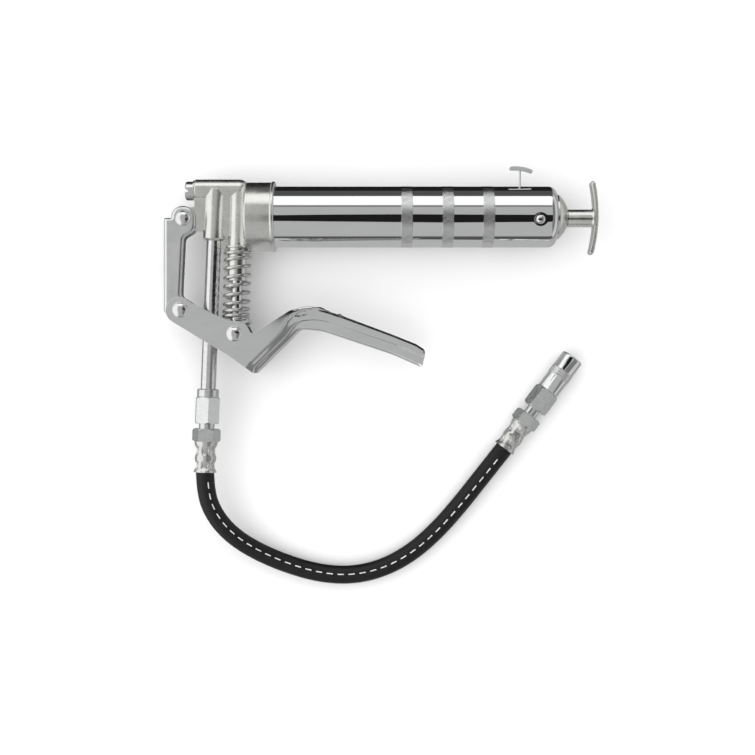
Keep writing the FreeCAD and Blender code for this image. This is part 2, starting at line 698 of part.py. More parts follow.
def hex_adapter():
    """Turned ring, hex body and male neck that join the pipe to the hose."""
    top = leaning(PIPE_FOOT, PIPE_LEAN, ADAPTER_TOP)
    hex_top = leaning(PIPE_FOOT, PIPE_LEAN, HEX_TOP)
    hex_foot = leaning(PIPE_FOOT, PIPE_LEAN, HEX_FOOT)
    ring = turned(top, pipe_down, [(0, 6.4), (0.7, 7.15), (5.0, 7.15), (5.6, 6.6)])
    body = union(ring, [
        hexagon(hex_top, pipe_down, ADAPTER_FLATS, HEX_TOP - HEX_FOOT, -18.0, 0.9),
        rod(hex_foot - pipe_down * 2.0, pipe_down, 5.1, 11.6)])
    body = body.cut(rod(top, pipe_down, PIPE_R, ADAPTER_SOCKET))
    return body.cut(rod(top, pipe_down, 2.0, 50))


def hose_fitting(face, along, hex_length, turn):
    """Hex with a socket for the neck before it and a barbed stem in the hose; face is the
    hex's face at the ferrule and along points into the hose."""
    back = along * -hex_length
    body = hexagon(face + back, along, FITTING_FLATS, hex_length, turn, 0.9)
    stem = turned(face, along, [
        (0, 2.6), (5, 2.6), (5, 2.9), (8, 2.6), (8, 2.9), (11, 2.6), (11, 2.9), (17, 2.2)])
    body = body.fuse(stem)
    body = body.cut(rod(face + back, along, 5.1, hex_length - 1.8))
    return body.cut(rod(face + back, along, 1.5, 40))


def ferrule(face, along):
    """Crimped shell over the hose end: two waists, a bulge between them and a flare."""
    curve = Part.BSplineCurve()
    curve.interpolate([V(0, 7.6, 0), V(2.6, 7.2, 0), V(6.0, 5.75, 0), V(11.1, 7.0, 0),
                       V(15.7, 5.75, 0), V(FERRULE_LENGTH, 7.6, 0)])
    flare = FERRULE_LENGTH
    inside = Part.makePolygon([
        V(flare, 7.6, 0), V(flare, HOSE_R, 0), V(HOSE_SEATED, HOSE_R, 0),
        V(HOSE_SEATED, FERRULE_BORE_R, 0), V(0, FERRULE_BORE_R, 0), V(0, 7.6, 0)])
    wire = Part.Wire([curve.toShape()] + inside.Edges)
    return placed(Part.Face(wire).revolve(V(), TAILWARD, 360), face, along)


def hose(near_face, near_along, far_face, far_along):
    body, length, radii = round_bar(HOSE_ROUTE, HOSE_R)
    print("hose radii", [round(radius, 1) for radius in radii])
    print("hose length", round(length, 1), "volume over section times length",
          round(body.Volume / (math.pi * HOSE_R ** 2 * length), 4))
    tails = [rod(near_face, near_along, FERRULE_BORE_R, HOSE_SEATED),
             rod(far_face, far_along, FERRULE_BORE_R, HOSE_SEATED)]
    body = body.multiFuse(tails)
    for face, along in ((near_face, near_along), (far_face, far_along)):
        body = body.cut(turned(face, along, [
            (0, 2.6), (5, 2.6), (5, 2.9), (8, 2.6), (8, 2.9), (11, 2.6), (11, 2.9), (17, 2.2)]))
    return body


# ---- coupler ----

def coupler_body(base, along):
    """Hex body with the neck into the hose fitting and the threaded tube for the sleeve."""
    body = union(hexagon(base, along, COUPLER_FLATS, COUPLER_HEX, 1.5, 1.2), [
        rod(base - along * (COUPLER_NECK + 5.8), along, 4.6, COUPLER_NECK + 5.8),
        rod(base + along * COUPLER_HEX, along, 5.5, 12.0)])
    front = base + along * COUPLER_HEX
    body = body.cut(rod(base - along * 20, along, 1.5, 40))
    body = body.cut(rod(front - along * 8.0, along, 3.2, 8.0))
    return body.cut(rod(front, along, 4.0, 12.0))


def coupler_sleeve(base, along):
    """Round sleeve that closes the jaws; its knurled band is a little proud."""
    body = turned(base, along, [
        (0.05, SLEEVE_R - 0.5), (0.55, SLEEVE_R), (SLEEVE_LENGTH - 17.0, SLEEVE_R),
        (SLEEVE_LENGTH - 16.8, SLEEVE_R + 0.12), (SLEEVE_LENGTH - 11.2, SLEEVE_R + 0.12),
        (SLEEVE_LENGTH - 11.0, SLEEVE_R), (SLEEVE_LENGTH - 1.2, SLEEVE_R),
        (SLEEVE_LENGTH, SLEEVE_R - 1.0)])
    body = body.cut(rod(base, along, 5.5 + RUNNING, 13.0))
    body = body.cut(rod(base + along * 13.0, along, 5.2, SLEEVE_LENGTH - 15.5))
    return body.cut(rod(base, along, 3.8, SLEEVE_LENGTH))


JAW_LENGTH = 9.0
JAW_FRONT = 3.0


def coupler_jaws(base, along):
    """Four jaws round the nipple's bore, parted by saw cuts."""
    front = base + along * (SLEEVE_LENGTH - JAW_FRONT)
    ring = tube(front - along * JAW_LENGTH, along, 5.1, NIPPLE_R, JAW_LENGTH)
    for quarter in range(2):
        cut = Part.makeBox(JAW_LENGTH + 2, 0.7, 20, V(-1, -0.35, -10))
        cut.rotate(V(), TAILWARD, 45 + 90 * quarter)
        ring = ring.cut(placed_copy(cut, front - along * JAW_LENGTH, along))
    return ring


def placed_copy(shape, base, along):
    """Copy of a shape made along +X, moved to base and turned to along."""
    moved = shape.copy()
    turn = FreeCAD.Rotation(TAILWARD, along)
    moved.Placement = FreeCAD.Placement(base, turn).multiply(shape.Placement)
    return moved


def coupler_seal(base, along):
    back = base + along * (SLEEVE_LENGTH - JAW_FRONT - JAW_LENGTH - 4.0)
    return tube(back, along, 3.9, 1.2, 4.0)


def coupler_check_ball(base, along):
    back = base + along * (SLEEVE_LENGTH - JAW_FRONT - JAW_LENGTH - 4.0)
    return Part.makeSphere(1.9, back - along * 1.5)


def coupler_spring(base, along):
    return coil(base - along * 7.6, along, 2.3, 0.35, [(8, 2.05)])


# ---- assembly ----

def far_direction():
    return V(math.cos(math.radians(FAR_TURN)), math.sin(math.radians(FAR_TURN)), 0)


def main():
    os.makedirs("parts", exist_ok=True)
    far = far_direction()
    back = far * -1
    near_face = leaning(PIPE_FOOT, PIPE_LEAN, FITTING_FOOT)
    far_face = FAR_MOUTH + far * FERRULE_LENGTH
    coupler_base = far_face + far * (FAR_FITTING + COUPLER_NECK)
    sleeve_base = coupler_base + far * COUPLER_HEX
    pieces = {
        "head_casting": head_casting(),
        "check_valve_plug": check_valve_plug(),
        "plug_washer": plug_washer(),
        "check_valve_ball": check_valve_ball(),
        "check_valve_spring": check_valve_spring(),
        "pump_seal": pump_seal(),
        "barrel_tube": barrel_tube(),
        "barrel_gasket": barrel_gasket(),
        "rear_guide_plug": rear_guide_plug(),
        "rear_plug_rivets": rear_plug_rivets(),
        "rod_bush": rod_bush(),
        "follower_rod": follower_rod(),
        "follower_seal": follower_seal(),
        "follower_plates": follower_plates(),
        "follower_nuts": follower_nuts(),
        "follower_spring": follower_spring(),
        "t_handle": t_handle(),
        "catch_pin": catch_pin(),
        "catch_pin_handle": catch_pin_handle(),
        "link": link(),
        "link_rivet": rivet(HEAD_PIVOT, RIVET_R, LINK_HALF),
        "lever": lever(),
        "lever_rivet": rivet(LINK_PIVOT, RIVET_R, LEVER_HALF),
        "plunger_rivet": rivet(PLUNGER_PIVOT, EYE_PIN_R, LEVER_HALF),
        "plunger_spacers": plunger_spacers(),
        "plunger": plunger(),
        "spring_cup": spring_cup(),
        "return_spring": return_spring(),
        "extension_pipe": extension_pipe(),
        "hex_adapter": hex_adapter(),
        "inlet_hose_fitting": hose_fitting(near_face, pipe_down, FITTING_TOP - FITTING_FOOT, 5.4),
        "inlet_ferrule": ferrule(near_face, pipe_down),
        "hose": hose(near_face, pipe_down, far_face, back),
        "outlet_ferrule": ferrule(far_face, back),
        "outlet_hose_fitting": hose_fitting(far_face, back, FAR_FITTING, -3.0),
        "coupler_body": coupler_body(coupler_base, far),
        "coupler_sleeve": coupler_sleeve(sleeve_base, far),
        "coupler_jaws": coupler_jaws(sleeve_base, far),
        "coupler_seal": coupler_seal(sleeve_base, far),
        "coupler_check_ball": coupler_check_ball(sleeve_base, far),
        "coupler_spring": coupler_spring(sleeve_base, far),
    }
    on_hose = ("hose", "outlet", "coupler")
    whole = FreeCAD.BoundBox()
    for name, shape in pieces.items():
        shape.translate(ORIGIN_TO_AXIS)
        if not shape.isValid() or not shape.Solids:
            print("check", name)
        shape.exportStep("parts/" + name + ".step")
        if not name.startswith(on_hose):
            whole.add(shape.BoundBox)
    print("object without its hose:", whole)
    for name, point in (("head pivot", HEAD_PIVOT), ("link pivot", LINK_PIVOT),
                        ("plunger pivot", PLUNGER_PIVOT), ("sleeve", sleeve_base)):
        print(name, point + ORIGIN_TO_AXIS)


main()
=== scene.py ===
import json
import math

import bpy
from mathutils import Matrix, Vector
from mathutils.geometry import delaunay_2d_cdt

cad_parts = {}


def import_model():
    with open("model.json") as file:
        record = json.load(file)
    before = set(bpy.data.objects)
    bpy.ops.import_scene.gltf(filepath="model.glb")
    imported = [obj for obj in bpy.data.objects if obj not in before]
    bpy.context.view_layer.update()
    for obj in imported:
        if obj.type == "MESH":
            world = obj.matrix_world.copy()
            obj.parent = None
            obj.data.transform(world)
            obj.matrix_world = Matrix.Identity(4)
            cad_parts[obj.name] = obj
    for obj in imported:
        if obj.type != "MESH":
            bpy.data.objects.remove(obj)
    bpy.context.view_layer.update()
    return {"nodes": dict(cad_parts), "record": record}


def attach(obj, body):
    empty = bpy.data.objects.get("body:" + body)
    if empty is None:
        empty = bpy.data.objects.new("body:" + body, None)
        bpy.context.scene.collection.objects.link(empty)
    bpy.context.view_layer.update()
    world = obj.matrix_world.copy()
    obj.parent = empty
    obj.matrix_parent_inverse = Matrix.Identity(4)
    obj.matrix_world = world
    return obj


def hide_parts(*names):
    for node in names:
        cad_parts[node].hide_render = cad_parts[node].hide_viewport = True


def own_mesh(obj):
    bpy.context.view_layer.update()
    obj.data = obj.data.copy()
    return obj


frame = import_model()

# The part's source draws the gun in millimetres from a zero on the barrel axis.
# at() turns such a point into the frame's metres, so both files name the same places.
MM = 0.001
ORIGIN_TO_AXIS = Vector((-2.62, 67.25, 23.0))
X, Y, Z = Vector((1, 0, 0)), Vector((0, 1, 0)), Vector((0, 0, 1))

BARREL_R, BARREL_WALL, BARREL_FRONT, BARREL_REAR = 19.8, 1.0, -80.5, 116.9
SHOULDER_R = 5.2
KNURL_STARTS, KNURL_WIDTH = (15.3, 41.8, 68.0), 7.5
PUMP_FOOT, PUMP_LEAN = Vector((-91.5, -18.3, 0)), 1.5
PIPE_FOOT, PIPE_LEAN = Vector((-107.2, -15.9, 0)), 2.25
SPRING_TOP, SPRING_FOOT, SPRING_R, SPRING_WIRE_R, SPRING_PLAY = -20.6, -68.3, 8.1, 1.15, 0.08
SPRING_FOOT_TURNS, SPRING_TOP_TURNS = [(1, 2.45), (1, 3.3), (1, 4.7)], [(0.5, 3.4), (1, 2.45)]
SPRING_ACTIVE_TURNS = 5.25
RIVET_X, RIVET_ANGLES = 104.7, (-11.0, 109.0, 229.0)
CATCH_X, CATCH_HOLE_R = 93.4, 0.8
FOLLOWER_SEAT, FOLLOWER_START = 112.0, -71.3
FOLLOWER_COIL_R, FOLLOWER_WIRE_R, FOLLOWER_TURNS = 13.0, 0.7, 8
FITTING_FOOT, FERRULE_LENGTH, FERRULE_BORE_R, HOSE_SEATED = -147.1, 20.1, 4.5, 18.1
HOSE_R = 6.0
FAR_TURN, FAR_MOUTH = 52.9, Vector((84.43, -152.38, -14.0))
FAR_FITTING, COUPLER_NECK, COUPLER_HEX = 7.8, 5.1, 15.0
SLEEVE_LENGTH, SLEEVE_R = 27.9, 7.5
CAP_TOP, HUB_R, HUB_END, HUB_LOW = 124.3, 5.75, 141.4, -0.9
HANDLE_X, HANDLE_HALF, HANDLE_THICK, HANDLE_SAG = 142.8, 23.95, 3.7, 2.9
HANDLE_TILT, HANDLE_DEPTH = -1.5, 9.0

# The hose's route, as the part's source has it but for the second to the fifth point,
# which are moved by up to 1.5 mm.
HOSE_ROUTE = [
    (-113.10, -165.2, 0.0), (-113.0, -180.5, -1.0), (-107.6, -195.8, -4.0),
    (-97.0, -209.2, -8.2), (-82.0, -219.9, -12.6), (-62.0, -229.3, -15.8),
    (-39.0, -236.2, -16.9), (-17.0, -237.6, -16.9), (4.0, -232.7, -16.9),
    (23.0, -222.2, -16.9), (39.5, -207.7, -16.8), (54.5, -190.6, -16.0),
    (69.0, -172.0, -14.8), (80.9, -156.8, -14.1), (85.64, -150.78, -14.0),
]


def at(point):
    """A point of the drawing, in millimetres, as a point of the frame, in metres."""
    return (Vector(point) + ORIGIN_TO_AXIS) * MM


def leaning(foot, lean, y):
    """Point at height y on a line through foot that leans toward -X on its way down."""
    return Vector((foot.x + (y - foot.y) * math.tan(math.radians(lean)), y, 0))


def downward(lean):
    """Direction of such a line on its way down."""
    return Vector((-math.sin(math.radians(lean)), -math.cos(math.radians(lean)), 0))


def smooth_step(low, high, value):
    share = min(1.0, max(0.0, (value - low) / (high - low)))
    return share * share * (3 - 2 * share)


def circle(up, side, radius, angle):
    """The point at an angle on a circle about zero, from its two unit directions."""
    return (up * math.cos(angle) + side * math.sin(angle)) * radius


PUMP_DOWN = downward(PUMP_LEAN)
PIPE_DOWN = downward(PIPE_LEAN)
FAR = Vector((math.cos(math.radians(FAR_TURN)), math.sin(math.radians(FAR_TURN)), 0))


# ---- materials ----

class Shader:
    """A node material with a principled surface, built up by its methods."""

    def __init__(self, name):
        self.made = bpy.data.materials.new(name)
        self.made.use_nodes = True
        self.tree = self.made.node_tree
        self.surface = self.tree.nodes["Principled BSDF"]
        self.place = self.add("ShaderNodeTexCoord").outputs["Object"]

    def add(self, kind, **settings):
        node = self.tree.nodes.new(kind)
        for key, value in settings.items():
            setattr(node, key, value)
        return node

    def join(self, start, end):
        self.tree.links.new(start, end)

    def put(self, socket, value):
        self.surface.inputs[socket].default_value = value

    def noise(self, size_mm, detail=4.0, stretch=(1, 1, 1), rough=0.55):
        """Noise whose features are about size_mm across, longer along stretched axes."""
        mapping = self.add("ShaderNodeMapping")
        mapping.inputs["Scale"].default_value = [1 / s for s in stretch]
        noise = self.add("ShaderNodeTexNoise")
        noise.inputs["Scale"].default_value = 1 / (size_mm * MM)
        noise.inputs["Detail"].default_value = detail
        noise.inputs["Roughness"].default_value = rough
        self.join(self.place, mapping.inputs["Vector"])
        self.join(mapping.outputs["Vector"], noise.inputs["Vector"])
        return noise.outputs["Fac"]

    def ramp(self, source, low, high, start=0.3, end=0.7):
        """Maps source from start..end to the range or the colours low..high."""
        if isinstance(low, (int, float)):
            node = self.add("ShaderNodeMapRange")
            for key, value in (("From Min", start), ("From Max", end),
                               ("To Min", low), ("To Max", high)):
                node.inputs[key].default_value = value
            self.join(source, node.inputs["Value"])
            return node.outputs["Result"]
        node = self.add("ShaderNodeValToRGB")
        for element, place, colour in zip(node.color_ramp.elements, (start, end), (low, high)):
            element.position = place
            element.color = (*colour, 1)
        self.join(source, node.inputs["Fac"])
        return node.outputs["Color"]

    def bumps(self, *layers, edge_mm=0.0):
        """Bump from (height, depth in mm) layers, over edges eased by edge_mm."""
        normal = None
        if edge_mm:
            bevel = self.add("ShaderNodeBevel", samples=6)
            bevel.inputs["Radius"].default_value = edge_mm * MM
            normal = bevel.outputs["Normal"]
        for height, depth in layers:
            bump = self.add("ShaderNodeBump")
            bump.inputs["Strength"].default_value = 1.0
            bump.inputs["Distance"].default_value = depth * MM
            self.join(height, bump.inputs["Height"])
            if normal:
                self.join(normal, bump.inputs["Normal"])
            normal = bump.outputs["Normal"]
        self.join(normal, self.surface.inputs["Normal"])


def metal(name, dark, light, roughness, grain, bumps=(), edge_mm=0.0):
    """A plated or cast metal: two tones and two roughnesses mixed by the same grain."""
    shader = Shader(name)
    shader.put("Metallic", 1.0)
    tone = shader.noise(*grain)
    shader.join(shader.ramp(tone, dark, light), shader.surface.inputs["Base Color"])
    shader.join(shader.ramp(tone, *roughness), shader.surface.inputs["Roughness"])
    layers = [(shader.noise(*layer), depth) for layer, depth in bumps]
    if layers:
        shader.bumps(*layers, edge_mm=edge_mm)
    return shader.made


def zinc_casting():
    return metal("zinc_casting", (0.77, 0.77, 0.74), (0.88, 0.88, 0.85), (0.21, 0.31),
                 (7.0, 5.0), [((0.55, 3.0), 0.008), ((4.0, 3.0), 0.04)], edge_mm=0.7)


def chrome():
    return metal("chrome", (0.86, 0.865, 0.87), (0.90, 0.905, 0.91), (0.03, 0.055),
                 (12.0, 3.0, (4, 1, 1)), [((26.0, 1.0, (2.5, 1, 1)), 0.04)])


def chrome_knurl():
    return metal("chrome_knurl", (0.80, 0.805, 0.81), (0.84, 0.845, 0.85), (0.06, 0.09),
                 (5.0, 2.0))


def nickel_lever():
    return metal("nickel_lever", (0.86, 0.865, 0.875), (0.92, 0.925, 0.93), (0.10, 0.18),
                 (9.0, 4.0, (3, 1, 1)), [((14.0, 2.0), 0.03), ((0.5, 2.0, (6, 1, 1)), 0.0016)],
                 edge_mm=0.35)


def plated_steel():
    return metal("plated_steel", (0.80, 0.815, 0.82), (0.90, 0.905, 0.905), (0.24, 0.36),
                 (10.0, 5.0, (1, 2, 1)), [((0.3, 2.0, (1, 9, 1)), 0.004), ((9.0, 2.0), 0.04)],
                 edge_mm=0.4)


def bright_steel():
    return metal("bright_steel", (0.76, 0.76, 0.765), (0.86, 0.86, 0.86), (0.10, 0.22),
                 (2.5, 4.0), [((1.2, 3.0), 0.012)], edge_mm=0.2)


def spring_steel():
    return metal("spring_steel", (0.60, 0.60, 0.59), (0.76, 0.76, 0.745), (0.16, 0.28),
                 (1.5, 4.0), [((0.5, 2.0), 0.006)])


def zinc_plate():
    return metal("zinc_plate", (0.74, 0.755, 0.755), (0.86, 0.875, 0.87), (0.17, 0.29),
                 (3.0, 5.0), [((0.4, 3.0), 0.008), ((3.5, 2.0), 0.02)], edge_mm=0.25)


def crimp_zinc():
    return metal("crimp_zinc", (0.68, 0.69, 0.655), (0.86, 0.87, 0.85), (0.20, 0.36),
                 (1.3, 5.0), [((0.8, 3.0), 0.05), ((0.25, 2.0), 0.006)])


def bronze():
    return metal("bronze", (0.52, 0.37, 0.18), (0.66, 0.49, 0.27), (0.35, 0.50), (0.6, 3.0))


def rubber(name, tone, roughness, grain_mm):
    shader = Shader(name)
    grain = shader.noise(grain_mm, 4.0)
    shade = shader.ramp(grain, [tone * 0.75] * 3, [tone * 1.3] * 3)
    shader.join(shade, shader.surface.inputs["Base Color"])
    shader.join(shader.ramp(grain, roughness - 0.05, roughness + 0.07),
                shader.surface.inputs["Roughness"])
    shader.put("Specular IOR Level", 0.3)
    shader.bumps((shader.noise(0.45, 3.0), 0.010), (shader.noise(5.0, 2.0), 0.04))
    return shader.made


def print_ink():
    shader = Shader("print_ink")
    worn = shader.noise(0.7, 4.0)
    shader.join(shader.ramp(worn, (0.30, 0.30, 0.30), (0.62, 0.62, 0.61), 0.35, 0.55),
                shader.surface.inputs["Base Color"])
    shader.put("Roughness", 0.55)
    return shader.made


MATERIALS = {
    "zinc_casting": zinc_casting(), "chrome_steel": chrome(), "plated_steel": plated_steel(),
    "bright_steel": bright_steel(), "spring_steel": spring_steel(), "zinc_plate": zinc_plate(),
    "crimp_zinc": crimp_zinc(), "hose_rubber": rubber("hose_rubber", 0.007, 0.36, 2.0),
    "seal_rubber": rubber("seal_rubber", 0.03, 0.5, 1.0), "bronze": bronze(),
}


def paint_cad_nodes():
    for row in frame["record"]["subparts"]:
        node = frame["nodes"][row["node"]]
        node.data.materials.clear()
        node.data.materials.append(MATERIALS[row["material_slot"]])


# ---- mesh helpers; all take drawing millimetres ----

def piece(name, points, faces, body, slot, *nodes, material=None, sharp=35):
    """A mesh of the object on a CAD body, standing for the CAD nodes named."""
    mesh = bpy.data.meshes.new(name)
    mesh.from_pydata([at(p) for p in points], [], faces)
    mesh.polygons.foreach_set("use_smooth", [True] * len(mesh.polygons))
    mesh.set_sharp_from_angle(angle=math.radians(sharp))
    mesh.validate()
    made = bpy.data.objects.new(name, mesh)
    bpy.context.scene.collection.objects.link(made)
    made.data.materials.append(material or MATERIALS[slot])
    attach(made, body)
    if nodes:
        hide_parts(*nodes)
    return made


def freeze(made, sharp):
    """Turns a piece's modifiers into its own mesh, sharp at edges above an angle."""
    bpy.context.view_layer.update()
    seen = made.evaluated_get(bpy.context.evaluated_depsgraph_get())
    made.data = bpy.data.meshes.new_from_object(seen)
    made.modifiers.clear()
    made.data.set_sharp_from_angle(angle=math.radians(sharp))


def across(along):
    """Two unit directions at right angles to a direction, the first nearest to up."""
    side = Z - along * along.dot(Z)
    if side.length < 1e-6:
        side = Y.copy()
    side.normalize()
    return side, along.cross(side)


def lathe(base, along, profile, sides, relief=None):
    """Points and faces of a closed ring profile of (distance, radius), turned round a line.
    relief(distance, angle, radius) is added to each radius."""
    up, side = across(along)
    points = []
    for distance, radius in profile:
        for step in range(sides):
            angle = 2 * math.pi * step / sides
            r = radius + (relief(distance, angle, radius) if relief else 0)
            points.append(base + along * distance + circle(up, side, r, angle))
    rings = len(profile)
    faces = []
    for ring in range(rings):
        after = (ring + 1) % rings
        for step in range(sides):
            beside = (step + 1) % sides
            faces.append((ring * sides + step, after * sides + step,
                          after * sides + beside, ring * sides + beside))
    return points, faces


def loft(rings):
    """Points and faces through equal rings of points, closed by a face at each end."""
    count = len(rings[0])
    points = [p for ring in rings for p in ring]
    faces = [tuple(reversed(range(count)))]
    for ring in range(len(rings) - 1):
        for step in range(count):
            beside = (step + 1) % count
            faces.append((ring * count + step, ring * count + beside,
                          (ring + 1) * count + beside, (ring + 1) * count + step))
    faces.append(tuple(range((len(rings) - 1) * count, len(rings) * count)))
    return points, faces


def wire(path, radius, sides=14):
    """A round wire along a path of points."""
    rings = []
    normal = None
    for index, here in enumerate(path):
        ahead = path[min(index + 1, len(path) - 1)] - path[max(index - 1, 0)]
        ahead.normalize()
        if normal is None:
            normal = across(ahead)[0]
        normal = (normal - ahead * normal.dot(ahead)).normalized()
        side = ahead.cross(normal)
        rings.append([here + circle(normal, side, radius, 2 * math.pi * step / sides)
                      for step in range(sides)])
    return loft(rings)


def helix(base, along, radius, pitches, steps=36, ease=0.3):
    """Path of a spring; pitches lists (turns, pitch), each eased into the next over ease
    turns either way."""
    up, side = across(along)
    total = round(sum(turns for turns, _ in pitches) * steps)

    def pitch_at(turn):
        done = 0
        value = pitches[0][1]
        for (turns, pitch), (_, following) in zip(pitches, pitches[1:]):
            done += turns
            value += (following - pitch) * smooth_step(done - ease, done + ease, turn)
        return value

    path = []
    height = 0
    for step in range(total + 1):
        turn = step / steps
        angle = 2 * math.pi * turn
        path.append(base + along * height + circle(up, side, radius, angle))
        height += pitch_at(turn) / steps
    return path


# ---- barrel ----

BARREL_SIDES = 900
# The part's source has plain bands a little prouder than these diamonds.
KNURL_TEETH, KNURL_RISE, KNURL_STEP = 88, 0.12, 0.14
KNURL_FADE, KNURL_STEEPNESS = 0.35, 1.9
# Plain rings this close beside each pressed or cut place keep its slopes out of the long
# plain faces.
GUARD, CATCH_GUARD = 0.2, 1.5
DIMPLE_DEEP, DIMPLE_RADII = 0.35, (3.0, 4.7)
DIMPLE_STEP, DIMPLE_RINGS = 0.3, 18


def knurl_height(distance, angle, start, width, radius, teeth, rise):
    """Height of flat-topped diamonds between crossed grooves, fading at the band's edges."""
    around = angle * radius
    spacing = 2 * math.pi * radius / teeth
    one = abs(math.sin(math.pi * (around + distance) / spacing))
    other = abs(math.sin(math.pi * (around - distance) / spacing))
    end = start + width
    edge = (smooth_step(start, start + KNURL_FADE, distance)
            * smooth_step(end, end - KNURL_FADE, distance))
    return rise * edge * min(1.0, KNURL_STEEPNESS * min(one, other))


def drill(made, centre, along, radius, reach=5, sides=20):
    """Cuts a round hole through a piece, to a reach each way from a point."""
    up, side = across(along)
    tool_points, tool_faces = loft([
        [centre + along * end + circle(up, side, radius, 2 * math.pi * step / sides)
         for step in range(sides)] for end in (-reach, reach)])
    mesh = bpy.data.meshes.new("drill")
    mesh.from_pydata([at(p) for p in tool_points], [], tool_faces)
    tool = bpy.data.objects.new("drill", mesh)
    bpy.context.scene.collection.objects.link(tool)
    hole = made.modifiers.new("hole", "BOOLEAN")
    hole.object = tool
    hole.operation = "DIFFERENCE"
    hole.solver = "EXACT"
    freeze(made, 35)
    bpy.data.objects.remove(tool)


def dimple(distance, angle, rivet):
    """Share of full depth of the dished ring round a rivet; rivet angles go from up to +Y."""
    apart = (angle + math.radians(rivet) + math.pi) % (2 * math.pi) - math.pi
    inner, outer = DIMPLE_RADII
    return smooth_step(outer, inner, math.hypot(distance - RIVET_X, apart * BARREL_R))


def barrel():
    """Drawn tube with three knurled bands and a swaged rear end."""
    outer = [(BARREL_FRONT, BARREL_R)]
    for start in KNURL_STARTS:
        steps = round(KNURL_WIDTH / KNURL_STEP)
        outer.append((start - GUARD, BARREL_R))
        outer += [(start + KNURL_WIDTH * step / steps, BARREL_R) for step in range(steps + 1)]
        outer.append((start + KNURL_WIDTH + GUARD, BARREL_R))
    outer += [(CATCH_X - CATCH_GUARD, BARREL_R), (CATCH_X + CATCH_GUARD, BARREL_R)]
    outer += [(RIVET_X + DIMPLE_STEP * step, BARREL_R)
              for step in range(-DIMPLE_RINGS, DIMPLE_RINGS + 1)]
    shoulder = 12
    inner_bend = SHOULDER_R - BARREL_WALL
    turn = [math.pi / 2 * step / shoulder for step in range(shoulder + 1)]
    outer += [(BARREL_REAR - SHOULDER_R + SHOULDER_R * math.sin(a),
               BARREL_R - SHOULDER_R + SHOULDER_R * math.cos(a)) for a in turn]
    inner = [(BARREL_REAR - SHOULDER_R + inner_bend * math.sin(a),
              BARREL_R - SHOULDER_R + inner_bend * math.cos(a)) for a in reversed(turn)]
    profile = outer + inner + [(BARREL_FRONT, BARREL_R - BARREL_WALL)]

    def relief(distance, angle, radius):
        if radius < BARREL_R:
            return 0
        if abs(distance - RIVET_X) < DIMPLE_STEP * DIMPLE_RINGS:
            return -DIMPLE_DEEP * sum(dimple(distance, angle, rivet) for rivet in RIVET_ANGLES)
        return sum(knurl_height(distance, angle, start, KNURL_WIDTH, BARREL_R, KNURL_TEETH,
                                KNURL_RISE)
                   for start in KNURL_STARTS if start < distance < start + KNURL_WIDTH)

    points, faces = lathe(Vector(), X, profile, BARREL_SIDES, relief)
    made = piece("barrel_tube_knurled", points, faces, "head", "chrome_steel", "barrel_tube")
    drill(made, Vector((CATCH_X, BARREL_R, 0)), Y, CATCH_HOLE_R)
    made.data.materials.append(chrome_knurl())
    edges = [(at((start, 0, 0)).x, at((start + KNURL_WIDTH, 0, 0)).x) for start in KNURL_STARTS]
    for polygon in made.data.polygons:
        if any(low < polygon.center.x < high for low, high in edges):
            polygon.material_index = 1


# ---- springs ----

FOLLOWER_PLAY = 0.05


def springs():
    """Return spring on the pump's boss and follower spring inside the barrel."""
    stand_off = SPRING_WIRE_R + SPRING_PLAY
    base = leaning(PUMP_FOOT, PUMP_LEAN, SPRING_FOOT) - PUMP_DOWN * stand_off
    room = (leaning(PUMP_FOOT, PUMP_LEAN, SPRING_TOP) - base).length - stand_off
    closed = sum(turns * pitch for turns, pitch in SPRING_FOOT_TURNS + SPRING_TOP_TURNS)
    active = [(SPRING_ACTIVE_TURNS, (room - closed) / SPRING_ACTIVE_TURNS)]
    path = helix(base, -PUMP_DOWN, SPRING_R, SPRING_FOOT_TURNS + active + SPRING_TOP_TURNS)
    pump = piece("return_spring_wire", *wire(path, SPRING_WIRE_R), "head", "spring_steel",
                 "return_spring")
    tuple(at(leaning(PUMP_FOOT, PUMP_LEAN, SPRING_TOP)))
    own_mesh(pump)

    start = FOLLOWER_START + FOLLOWER_WIRE_R + FOLLOWER_PLAY
    length = FOLLOWER_SEAT - FOLLOWER_WIRE_R - FOLLOWER_PLAY - start
    path = helix(Vector((start, 0, 0)), X, FOLLOWER_COIL_R,
                 [(FOLLOWER_TURNS, length / FOLLOWER_TURNS)])
    push = piece("follower_spring_wire", *wire(path, FOLLOWER_WIRE_R), "head", "spring_steel",
                 "follower_spring")
    tuple(at((FOLLOWER_SEAT, 0, 0)))
    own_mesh(push)


# ---- lever ----

# Corners (x, y, radius) as the part's source has them, front pivot to tip and back; the
# two at the top of the bend are fuller by up to 2 mm, for the pressed oval's seat.
LEVER_UPPER = [
    (-120.4, -57.2, 4), (-102.5, -66.0, 20), (-96.5, -68.9, 4), (-90.6, -68.6, 5),
    (-85.0, -70.8, 4), (-81.6, -77.6, 2.5), (-70.7, -70.5, 30), (-57.0, -61.5, 9),
    (-44.5, -58.2, 14), (-23.0, -64.9, 60), (10.1, -77.3, 60), (25.0, -83.3, 12),
    (31.4, -87.5, 3)]
FINGER_EDGE = [
    (29.0, -98.6, 1.5), (10.1, -90.3, 80), (-23.0, -79.2, 60), (-36.0, -74.9, 20),
    (-49.8, -73.6, 7), (-57.6, -81.8, 30), (-79.6, -103.4, 3.5)]
LEVER_FRONT = [
    (-98.0, -90.0, 0), (-113.7, -80.9, 60), (-140.4, -64.6, 8.3), (-131.5, -48.9, 8.3)]
# The upper edge curls inward from this corner of LEVER_UPPER on.
CURL_CORNER = 6
LEVER_HALF, LEVER_SHEET = 9.0, 1.9
TRIGGER_NARROWER, NARROWING = 1.2, (-72.0, -57.0)
